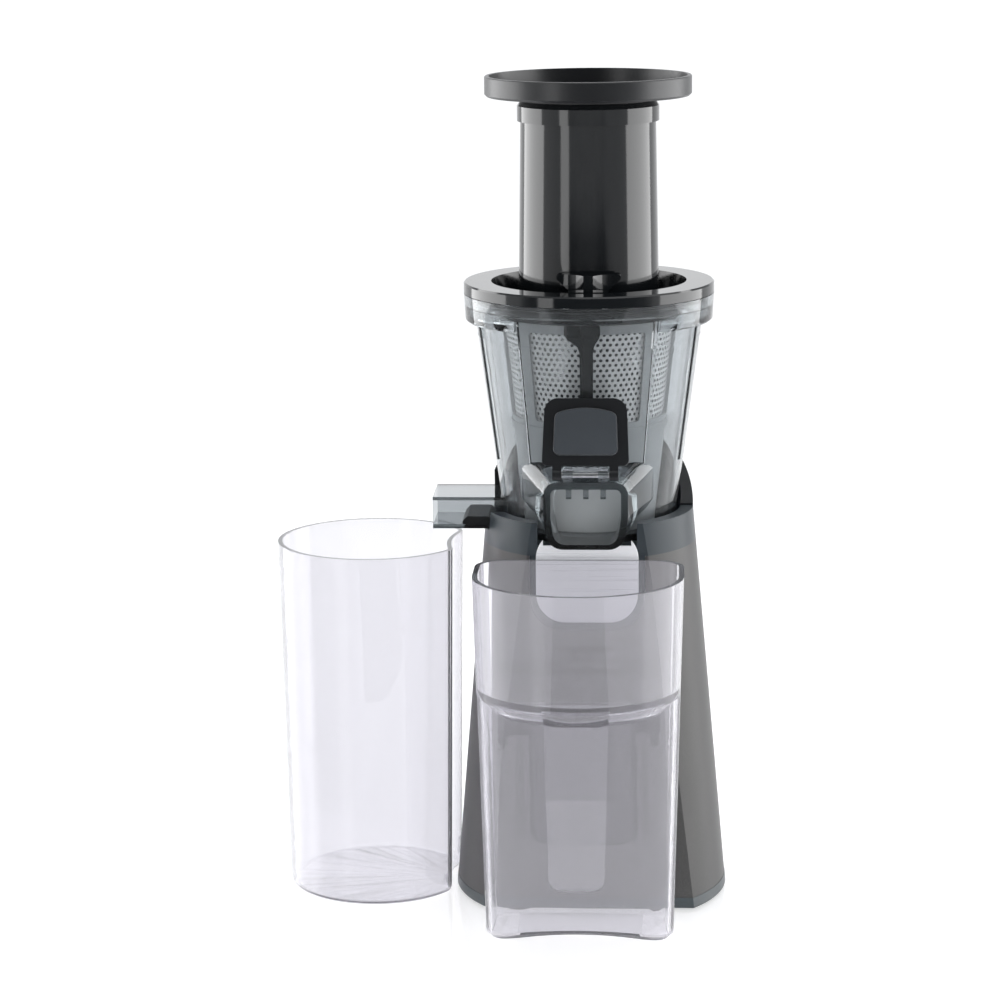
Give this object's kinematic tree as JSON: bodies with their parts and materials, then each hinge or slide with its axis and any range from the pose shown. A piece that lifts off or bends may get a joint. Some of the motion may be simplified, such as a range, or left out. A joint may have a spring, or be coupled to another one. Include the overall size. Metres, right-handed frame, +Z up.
{
  "type": "cold press juicer",
  "caption": "Upright slow juicer: tapered motor tower, smoke-clear pressing bowl with spout flap and pulp chute, wide feed tube with tray, clear juice jug and pulp container.",
  "frame": {"origin": "on the floor, at the middle of the footprint of the tower with its jug and pulp container", "axes": "+Z up; -Y towards the front, where the juice pours; -X towards the pulp container"},
  "size_m": [0.2396, 0.206, 0.436],
  "materials": {
    "rubber": "matt black",
    "dark_plastic": "slate grey",
    "grey_plastic": "mid grey",
    "black_plastic": "black",
    "gloss_black": "gloss black",
    "cover_metal": "satin warm grey",
    "panel_metal": "brushed",
    "clear_plastic": "clear",
    "smoke_plastic": "smoke grey",
    "silicone": "black silicone",
    "flap_silicone": "dark grey silicone",
    "mesh_steel": "polished",
    "steel": "machined",
    "zinc_steel": "zinc plated",
    "lamination": "laminated",
    "copper": "copper",
    "bronze": "sintered bronze",
    "gear_nylon": "natural nylon",
    "housing_nylon": "glass filled nylon",
    "board": "green laminate",
    "auger_plastic": "dark grey"
  },
  "bodies": {
    "base": {"rubber_feet": "rubber", "bottom_cover": "dark_plastic", "base_screws": "zinc_steel", "inner_chassis": "housing_nylon", "tower_cover": "cover_metal", "collar": "grey_plastic", "front_panel": "panel_metal", "rear_cradle": "black_plastic", "drive_deck": "dark_plastic", "deck_standoffs": "zinc_steel", "deck_screws": "zinc_steel", "gear_plate": "zinc_steel", "plate_screws": "zinc_steel", "gearbox_cover": "housing_nylon", "gearbox_screws": "zinc_steel", "motor_can": "steel", "motor_end_bell": "steel", "motor_screws": "zinc_steel", "stator_core": "lamination", "motor_bushes": "bronze", "layshaft_bushes": "bronze", "output_bearing": "steel", "shaft_seal": "silicone", "circuit_board": "board", "switch_bezel": "black_plastic", "cord_gland": "rubber"},
    "rotor": {"motor_shaft": "steel", "rotor_core": "lamination", "commutator": "copper", "cooling_fan": "housing_nylon", "motor_pinion": "steel"},
    "layshaft_set": {"layshaft": "steel", "layshaft_wheel": "gear_nylon", "layshaft_pinion": "steel"},
    "drive": {"output_gear": "gear_nylon", "drive_shaft": "steel"},
    "rocker": {"switch_rocker": "gloss_black"},
    "bowl": {"juice_bowl": "smoke_plastic", "bowl_gasket": "silicone", "pulp_plug": "silicone", "strainer_frame": "black_plastic", "strainer_mesh": "mesh_steel"},
    "screw": {"auger": "auger_plastic"},
    "cover": {"lid": "gloss_black", "lid_seal": "silicone"},
    "tray": {"hopper_tray": "black_plastic"},
    "flap": {"flap_frame": "black_plastic", "flap_plug": "flap_silicone", "flap_pin": "zinc_steel"},
    "jug": {"juice_jug": "clear_plastic"},
    "container": {"pulp_container": "clear_plastic"}
  },
  "joints": [
    {"name": "motor_spin", "type": "hinge", "parent": "base", "child": "rotor", "pos_m": [0.04718, 0.029, 0.07], "axis": [0, 0, 1], "continuous": true},
    {"name": "layshaft_spin", "type": "hinge", "parent": "base", "child": "layshaft_set", "pos_m": [0.04718, 0.05716, 0.13], "axis": [0, 0, 1], "continuous": true},
    {"name": "drive_spin", "type": "hinge", "parent": "base", "child": "drive", "pos_m": [0.04718, 0.029, 0.16], "axis": [0, 0, 1], "continuous": true},
    {"name": "auger_spin", "type": "hinge", "parent": "bowl", "child": "screw", "pos_m": [0.04718, 0.029, 0.23], "axis": [0, 0, 1], "continuous": true},
    {"name": "bowl_lift", "type": "slide", "parent": "base", "child": "bowl", "axis": [0, 0, 1], "range_m": [0, 0.07]},
    {"name": "lid_lift", "type": "slide", "parent": "bowl", "child": "cover", "axis": [0, 0, 1], "range_m": [0, 0.06]},
    {"name": "tray_lift", "type": "slide", "parent": "cover", "child": "tray", "axis": [0, 0, 1], "range_m": [0, 0.04]},
    {"name": "flap_hinge", "type": "hinge", "parent": "bowl", "child": "flap", "pos_m": [0.04718, -0.04, 0.24], "axis": [1, 0, 0], "range_deg": [0, 193]},
    {"name": "switch_rock", "type": "hinge", "parent": "base", "child": "rocker", "pos_m": [0.04718, 0.09109, 0.08371], "axis": [1, 0, 0], "range_deg": [-10, 10]},
    {"name": "jug_pull", "type": "slide", "parent": "base", "child": "jug", "axis": [0, -1, 0], "range_m": [0, 0.12]},
    {"name": "container_pull", "type": "slide", "parent": "base", "child": "container", "axis": [-1, 0, 0], "range_m": [0, 0.12]}
  ],
  "couplings": [
    {"joint": "layshaft_spin", "follows": "motor_spin", "ratio": -0.33333},
    {"joint": "drive_spin", "follows": "motor_spin", "ratio": 0.11111},
    {"joint": "auger_spin", "follows": "motor_spin", "ratio": 0.11111}
  ]
}
